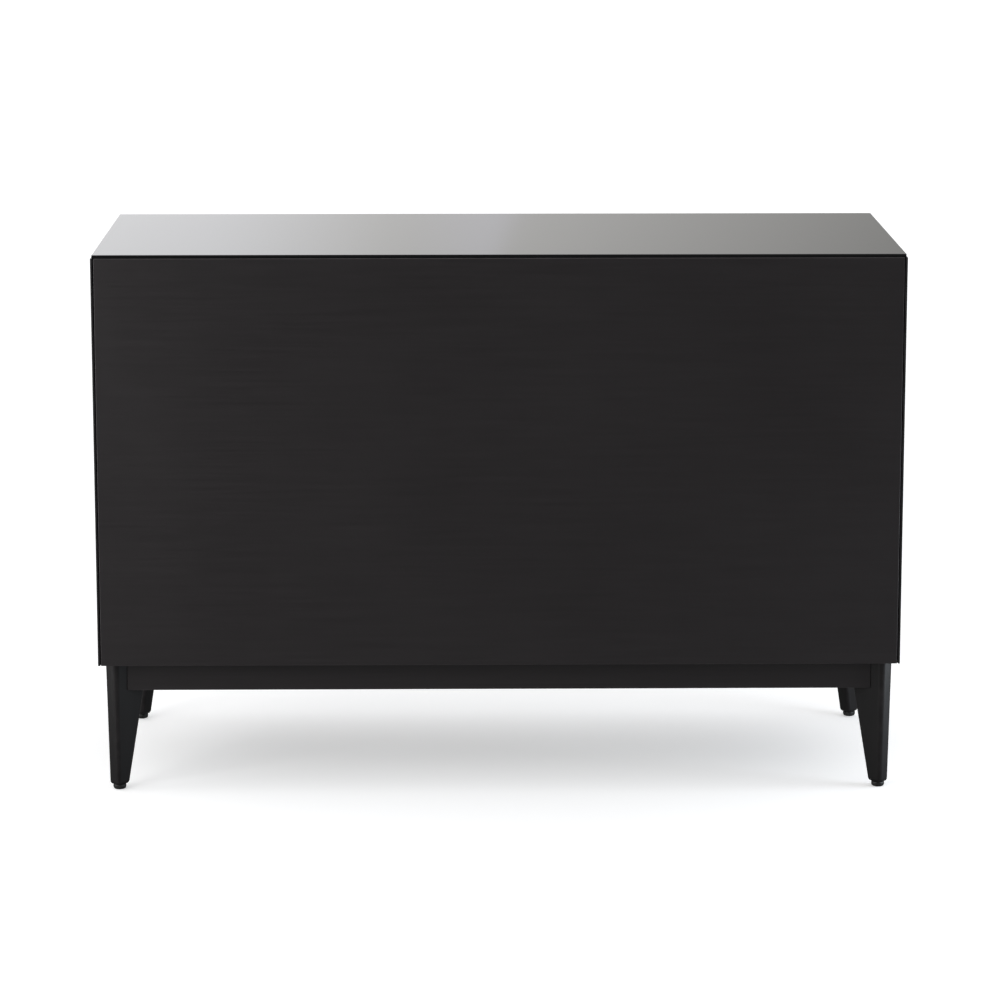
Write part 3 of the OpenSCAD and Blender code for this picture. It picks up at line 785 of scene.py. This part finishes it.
def make_drawer_box(drawer):
    """Four plywood boards with softly rounded edges, butted together, and the bottom in their groove."""
    node = f"{drawer}_box"
    low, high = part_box(node)
    thick = BOX_BOARD
    sides = bmesh.new()
    for x in (low.x, high.x - thick):
        add_board(sides, (x, low.y, low.z), (x + thick, high.y, high.z), 1.5 * MM, 4)
    show_plies(sides)
    stand_for(make_object(f"{drawer}_box_sides", sides, BIRCH_ALONG_Y, PLIES_ACROSS_X), node)
    ends = bmesh.new()
    for y in (low.y, high.y - thick):
        end_low = (low.x + thick, y, low.z)
        add_board(ends, end_low, (high.x - thick, y + thick, high.z - 0.5 * MM), 1.2 * MM)
    show_plies(ends)
    ends_piece = make_object(f"{drawer}_box_ends", ends, BIRCH_ALONG_X, PLIES_ACROSS_Y)
    add_detail(ends_piece, BODY_OF[node])
    bottom = f"{drawer}_bottom"
    base = bmesh.new()
    add_board(base, *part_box(bottom), 0.3 * MM, 1)
    stand_for(make_object(f"{bottom}_board", base, BIRCH_ALONG_X), bottom)


def knob_places(drawer):
    """For each of the two knobs: where its axis meets the drawer front, its radius and its height."""
    low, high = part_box(f"{drawer}_knobs")
    radius = (high.z - low.z) / 2
    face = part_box(f"{drawer}_front")[0].y
    for x in (low.x + radius, high.x - radius):
        yield Vector((x, face, (low.z + high.z) / 2)), radius, face - low.y


def make_knobs(drawer):
    """Turned round knobs with a domed face and a waisted neck, and the heads of their screws inside."""
    body = BODY_OF[f"{drawer}_knobs"]
    bm = bmesh.new()
    for point, radius, height in knob_places(drawer):
        neck = radius * 0.44
        profile = [
            (neck * 1.3, 0), (neck * 1.22, height * 0.05), (neck, height * 0.16),
            (neck * 0.98, height * 0.34), (radius * 0.66, height * 0.50), (radius * 0.93, height * 0.60),
            (radius, height * 0.74), (radius * 0.985, height * 0.86), (radius * 0.90, height * 0.93),
            (radius * 0.70, height * 0.975), (radius * 0.35, height * 0.995), (0, height),
        ]
        add_lathe(bm, rounded_profile(profile, 1.2 * MM), axis_matrix(point, (0, -1, 0)))
    stand_for(make_object(f"{drawer}_turned_knobs", bm, KNOB_COAT), f"{drawer}_knobs")
    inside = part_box(f"{drawer}_box")[0].y + BOX_BOARD
    heads = bmesh.new()
    for point, _, _ in knob_places(drawer):
        add_cross_head(heads, axis_matrix((point.x, inside, point.z), (0, 1, 0)), *KNOB_SCREW)
    add_detail(make_object(f"{drawer}_knob_screws", heads, ZINC), body)


def make_bumpers(drawer):
    """Pale self-adhesive bumpers in the corners of a front, where it closes on the cabinet's edges."""
    low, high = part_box(f"{drawer}_front")
    tall = (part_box("sub_top")[0].y - high.y) * 0.9
    outer, inner = (high.x, low.x) if drawer.endswith("right") else (low.x, high.x)
    side_x = outer - math.copysign(BUMPER_FROM_SIDE, outer)
    middle_x = inner + math.copysign(BUMPER_FROM_MIDDLE, outer)
    profile = [(BUMPER_R, 0), (BUMPER_R * 0.92, tall * 0.6), (BUMPER_R * 0.6, tall * 0.95), (0, tall)]
    bm = bmesh.new()
    for x in (side_x, middle_x):
        for z in (low.z + BUMPER_FROM_END, high.z - BUMPER_FROM_END):
            add_lathe(bm, profile, axis_matrix((x, high.y, z), (0, 1, 0)), 24)
    bumpers = make_object(f"{drawer}_bumpers", bm, BUMPER_RUBBER)
    add_detail(bumpers, BODY_OF[f"{drawer}_front"])


def make_drawers():
    for drawer in DRAWERS:
        make_drawer_front(drawer)
        make_drawer_box(drawer)
        make_knobs(drawer)
        make_bumpers(drawer)


# ---- Slides ----

SLIDE_T = 1.2 * MM
# Each member's web, flange end and half height; the first two are measured from the wall that it hangs on
CABINET_MEMBER = (0.0, 10.2 * MM, 22.8 * MM)
MIDDLE_MEMBER = (2.4 * MM, 11.0 * MM, 18.0 * MM)
DRAWER_MEMBER = (11.8 * MM, 4.8 * MM, 13.5 * MM)
SLIDE_SCREW = (3.5 * MM, 0.8 * MM, 0.5 * MM)  # radius and height of its head, and depth of the cross
CABINET_SCREW_FROM_END = 40 * MM
DRAWER_SCREW_FROM_END = 60 * MM
BRACKET_SCREW_RISE = 10 * MM  # above and below the bracket's middle
# Radius of the balls and the distance of their row from the wall, for the outer and the inner rows
OUTER_BALLS = (1.65 * MM, 7.0 * MM)
INNER_BALLS = (1.50 * MM, 8.4 * MM)
BALLS_IN_ROW = 9
BALL_RINGS = 7
BALL_SIDES = 10
BALL_FROM_END = 8 * MM
CAGE_FROM_END = 6 * MM
CAGE_HALF_W = 2.3 * MM
CAGE_HALF_T = 0.35 * MM
# A release lever's reach from the wall and along the slide, and its half height
LEVER_AWAY = (6.2 * MM, 11.6 * MM)
LEVER_ALONG = (84 * MM, 122 * MM)
LEVER_HALF_H = 3 * MM


def slide_walls(drawer):
    """The two walls of a drawer's bay: each wall's x and the way from it into the bay."""
    low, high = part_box(f"{drawer}_middle_slides")
    web = MIDDLE_MEMBER[0]
    return ((low.x - web, 1), (high.x + web, -1))


def add_member(bm, drawer, member, y_low, y_high):
    """Both channels of one member of a drawer's slides, with rounded bends and straight flanges."""
    web, flange, half = member
    z = middle_of(f"{drawer}_middle_slides").z
    into = 1 if flange > web else -1
    centre = web + SLIDE_T / 2
    tip = flange - into * 0.05 * MM
    rim = half - SLIDE_T / 2
    path = [(tip, rim), (centre, rim), (centre, -rim), (tip, -rim)]
    outline = sheet_outline(rounded_profile(path, 1.6 * MM), SLIDE_T)
    for wall, way in slide_walls(drawer):
        placed = [(wall + way * x, z + up) for x, up in outline]
        add_prism(bm, placed, y_low, y_high, 0, up=1)


def make_middle_members(drawer):
    node = f"{drawer}_middle_slides"
    low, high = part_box(node)
    bm = bmesh.new()
    add_member(bm, drawer, MIDDLE_MEMBER, low.y, high.y)
    stand_for(make_object(f"{drawer}_middle_members", bm, ZINC), node)


def add_ball(bm, centre, radius):
    place = Matrix.Translation(centre)
    bmesh.ops.create_uvsphere(bm, u_segments=BALL_SIDES, v_segments=BALL_RINGS, radius=radius,
                              matrix=place)


def make_ball_cages(drawer):
    """Balls in their cage strips, between the cabinet's member and the middle one and inside the middle one.
    They ride with the middle member, so each lies in the half of it that stays engaged."""
    low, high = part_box(f"{drawer}_middle_slides")
    z = (low.z + high.z) / 2
    half = (high.y - low.y) / 2
    run = half - 4 * CAGE_FROM_END
    rows = (
        (CABINET_MEMBER, MIDDLE_MEMBER, OUTER_BALLS, low.y + half + CAGE_FROM_END),
        (MIDDLE_MEMBER, DRAWER_MEMBER, INNER_BALLS, low.y + CAGE_FROM_END),
    )
    balls = bmesh.new()
    strips = bmesh.new()
    for wall, way in slide_walls(drawer):
        for around, within, (radius, away), start in rows:
            rise = (around[2] - SLIDE_T + within[2]) / 2
            for up in (-1, 1):
                centre, level = wall + way * away, z + up * rise
                for index in range(BALLS_IN_ROW):
                    y = start + BALL_FROM_END + (run - 2 * BALL_FROM_END) * index / (BALLS_IN_ROW - 1)
                    add_ball(balls, (centre, y, level), radius)
                strip_low = (centre - CAGE_HALF_W, start, level - CAGE_HALF_T)
                strip_high = (centre + CAGE_HALF_W, start + run, level + CAGE_HALF_T)
                add_board(strips, strip_low, strip_high, 0.2 * MM, 1)
    body = BODY_OF[f"{drawer}_middle_slides"]
    add_detail(make_object(f"{drawer}_slide_balls", balls, ZINC), body)
    add_detail(make_object(f"{drawer}_ball_cages", strips, GREY_PLASTIC), body)


def make_drawer_members(drawer):
    """The members on the drawer, with the heads of their screws and a grey release lever near the front."""
    node = f"{drawer}_drawer_slides"
    low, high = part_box(node)
    z = (low.z + high.z) / 2
    members = bmesh.new()
    add_member(members, drawer, DRAWER_MEMBER, low.y, high.y)
    levers = bmesh.new()
    for wall, way in slide_walls(drawer):
        for y in (low.y + DRAWER_SCREW_FROM_END, high.y - DRAWER_SCREW_FROM_END):
            place = axis_matrix((wall + way * DRAWER_MEMBER[0], y, z), (-way, 0, 0))
            add_cross_head(members, place, *SLIDE_SCREW)
        near, far = sorted(wall + way * away for away in LEVER_AWAY)
        lever_low = (near, low.y + LEVER_ALONG[0], z - LEVER_HALF_H)
        lever_high = (far, low.y + LEVER_ALONG[1], z + LEVER_HALF_H)
        add_board(levers, lever_low, lever_high, 1.2 * MM)
    stand_for(make_object(f"{drawer}_drawer_members", members, ZINC), node)
    add_detail(make_object(f"{drawer}_release_levers", levers, GREY_PLASTIC), BODY_OF[node])


def make_cabinet_members():
    low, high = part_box("cabinet_slides")
    bm = bmesh.new()
    for drawer in DRAWERS:
        add_member(bm, drawer, CABINET_MEMBER, low.y, high.y)
    stand_for(make_object("cabinet_slide_members", bm, ZINC), "cabinet_slides")


def make_screws():
    """The cabinet's own screws: three in each slide and four in each corner bracket."""
    low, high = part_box("cabinet_slides")
    bm = bmesh.new()
    for drawer in DRAWERS:
        z = middle_of(f"{drawer}_middle_slides").z
        for wall, way in slide_walls(drawer):
            for y in (low.y + CABINET_SCREW_FROM_END, (low.y + high.y) / 2, high.y - CABINET_SCREW_FROM_END):
                add_cross_head(bm, axis_matrix((wall + way * SLIDE_T, y, z), (way, 0, 0)), *SLIDE_SCREW)
    middle_z = middle_of("corner_brackets").z
    along = BRACKET_REACH + BRACKET_FLANGE / 2
    for x, y, sx, sy in plan_corners("corner_brackets"):
        for z in (middle_z - BRACKET_SCREW_RISE, middle_z + BRACKET_SCREW_RISE):
            on_x = axis_matrix((x - sx * BRACKET_T, y - sy * along, z), (-sx, 0, 0))
            on_y = axis_matrix((x - sx * along, y - sy * BRACKET_T, z), (0, -sy, 0))
            add_cross_head(bm, on_x, *SLIDE_SCREW)
            add_cross_head(bm, on_y, *SLIDE_SCREW)
    stand_for(make_object("cabinet_screw_heads", bm, ZINC), "slide_and_bracket_screws")


def make_slides():
    make_cabinet_members()
    for drawer in DRAWERS:
        make_middle_members(drawer)
        make_drawer_members(drawer)
        make_ball_cages(drawer)
    make_screws()


def dress_dowels():
    """The dowels keep their CAD shape: they lie hidden in the boards."""
    dowels = frame["nodes"]["dowels"]
    dowels.data.materials.clear()
    dowels.data.materials.append(BEECH)


# ---- Stage, light and camera ----


def make_floor():
    reach = 60.0
    bm = bmesh.new()
    corners = ((-reach, -reach), (reach, -reach), (reach, reach), (-reach, reach))
    bm.faces.new([bm.verts.new((x, y, 0)) for x, y in corners])
    make_object("studio_floor", bm, FLOOR)


def direction(azimuth, elevation):
    """A direction from compass-like angles: azimuth 0 is -Y, beyond the drawers, and 90 is +X."""
    a, e = math.radians(azimuth), math.radians(elevation)
    return (math.sin(a) * math.cos(e), -math.cos(a) * math.cos(e), math.sin(e))


# Soft studio light as round patches of the dome: the direction, the angles from it in degrees at which the
# patch stops being full and ends, and what it adds to the dome's level
LIGHT_PATCHES = [
    (direction(0, 90), 30, 80, (0.62, 0.62, 0.62)),
    (direction(90, 14), 16, 44, (0.20, 0.21, 0.23)),
    (direction(-90, 14), 16, 44, (0.32, 0.39, 0.50)),
    (direction(180, 0), 14, 56, (-0.25, -0.26, -0.26)),
]
DOME_LEVEL = 0.45
# The bright wall beyond the drawers, which the glossy top mirrors. It falls off evenly from +X to -X, and
# RISE_LIGHT lifts its +X part. Where two panels of it meet, the one on the +X side is a little brighter and
# cooler. Each pair holds where a change begins and where it is complete, as dot products with a direction.
WALL_DARK = (0.201, 0.198, 0.189)
WALL_BRIGHT = (1.385, 1.375, 1.350)
WALL_FALL = (-0.20, 0.16)
WALL_RISE = (0.0, 0.07)
RISE_LIGHT = (0.17, 0.18, 0.225)
SEAM_ACROSS = (1, 0, -0.39)
SEAM_STEP = (-0.0700, -0.0625)
SEAM_FADE = (0.020, -0.014)
SEAM_LIGHT = (0.085, 0.086, 0.130)
WALL_SHARE = (0.74, 0.92)


def make_studio():
    world = bpy.data.worlds.new("studio")
    bpy.context.scene.world = world
    world.use_nodes = True
    tree = world.node_tree
    tree.nodes.clear()
    where = add_node(tree, "ShaderNodeTexCoord").outputs["Generated"]

    def facing(towards):
        node = add_node(tree, "ShaderNodeVectorMath", {1: towards}, {0: where}, operation="DOT_PRODUCT")
        return node.outputs["Value"]

    def ramp(source, start, end):
        values = {"From Min": start, "From Max": end}
        links = {"Value": source}
        node = add_node(tree, "ShaderNodeMapRange", values, links, interpolation_type="SMOOTHSTEP")
        return node.outputs["Result"]

    def plus(light, share, colour):
        """The light, which is a colour or a socket, with more of a colour where share is 1."""
        more = add_node(tree, "ShaderNodeVectorMath", {0: colour}, {"Scale": share}, operation="SCALE")
        total = add_node(tree, "ShaderNodeVectorMath", {}, {1: more.outputs["Vector"]}, operation="ADD")
        if isinstance(light, tuple):
            total.inputs[0].default_value = light
        else:
            tree.links.new(light, total.inputs[0])
        return total.outputs["Vector"]

    light = (DOME_LEVEL,) * 3
    for towards, full, end, colour in LIGHT_PATCHES:
        patch = ramp(facing(towards), math.cos(math.radians(end)), math.cos(math.radians(full)))
        light = plus(light, patch, colour)
    aside = facing((1, 0, 0))
    wall = blend_colours(tree, span(tree, aside, 0, 1, *WALL_FALL), WALL_DARK, WALL_BRIGHT)
    wall = plus(wall, ramp(aside, *WALL_RISE), RISE_LIGHT)
    seam = combine(tree, "MULTIPLY", ramp(facing(SEAM_ACROSS), *SEAM_STEP), ramp(aside, *SEAM_FADE))
    wall = plus(wall, seam, SEAM_LIGHT)
    light = blend_colours(tree, ramp(facing((0, -1, 0)), *WALL_SHARE), light, wall)
    dome = add_node(tree, "ShaderNodeBackground", {"Strength": 1.0}, {"Color": light})
    backdrop = add_node(tree, "ShaderNodeBackground", {"Color": (1, 1, 1, 1), "Strength": 1.0})
    seen = add_node(tree, "ShaderNodeLightPath").outputs["Is Camera Ray"]
    mixed = add_node(tree, "ShaderNodeMixShader", {}, {0: seen, 1: dome.outputs[0], 2: backdrop.outputs[0]})
    add_node(tree, "ShaderNodeOutputWorld", {}, {"Surface": mixed.outputs[0]})


def add_soft_box(name, place, aim, size, watts, colour):
    """A rectangular soft light that the camera doesn't see."""
    data = bpy.data.lights.new(name, "AREA")
    data.shape = "RECTANGLE"
    data.size, data.size_y = size
    data.energy = watts
    data.color = colour
    light = bpy.data.objects.new(name, data)
    bpy.context.scene.collection.objects.link(light)
    light.location = place
    light.rotation_mode = "QUATERNION"
    light.rotation_quaternion = (Vector(aim) - Vector(place)).to_track_quat("-Z", "Y")
    light.visible_camera = False
    return light


def flag_off(light, piece):
    """Keeps a light off one piece, as a photographer's flag does."""
    kept_off = bpy.data.collections.new(f"{light.name}_flag")
    kept_off.objects.link(piece)
    kept_off.collection_objects[0].light_linking.link_state = "EXCLUDE"
    light.light_linking.receiver_collection = kept_off


def make_lights():
    """A tall soft box beside the back panel's +X edge, and low strips that draw the legs' noses."""
    low, high = CAD_BOX
    back = high.y
    leg_x = high.x - 0.03
    beside, panel_edge = (high.x + 1.15, back + 1.2, 0.75), (high.x - 0.1, back, 0.5)
    side = add_soft_box("side_box", beside, panel_edge, (0.9, 1.3), 15.5, (1, 1, 1))
    flag_off(side, bpy.data.objects["top_plate_board"])
    strip = (0.5, 0.42)
    right_leg, left_leg = (-leg_x, back, 0.1), (leg_x, back, 0.1)
    add_soft_box("right_strip", (low.x - 0.9, back + 0.1, 0.24), right_leg, strip, 7.6, (0.86, 0.93, 1))
    add_soft_box("left_strip", (high.x + 0.9, back + 0.1, 0.24), left_leg, strip, 2.2, (1, 1, 1))


def make_camera():
    """Behind the dresser, almost on its middle line and looking down a little."""
    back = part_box("back_panel")[1].y
    data = bpy.data.cameras.new("camera")
    data.sensor_width = 36
    data.lens = 132.9
    data.shift_y = -0.08
    data.clip_end = 200
    camera = bpy.data.objects.new("camera", data)
    bpy.context.scene.collection.objects.link(camera)
    camera.location = (0.070, back + 5.365, 1.561)
    aim = Vector((-0.004, 0.0, 0.525))
    camera.rotation_mode = "QUATERNION"
    camera.rotation_quaternion = (aim - camera.location).to_track_quat("-Z", "Y")
    bpy.context.scene.camera = camera
    bpy.context.scene.view_settings.view_transform = "Standard"


make_camera()
make_studio()
make_floor()
make_cabinet_boards()
make_base()
make_drawers()
make_slides()
dress_dowels()
make_lights()
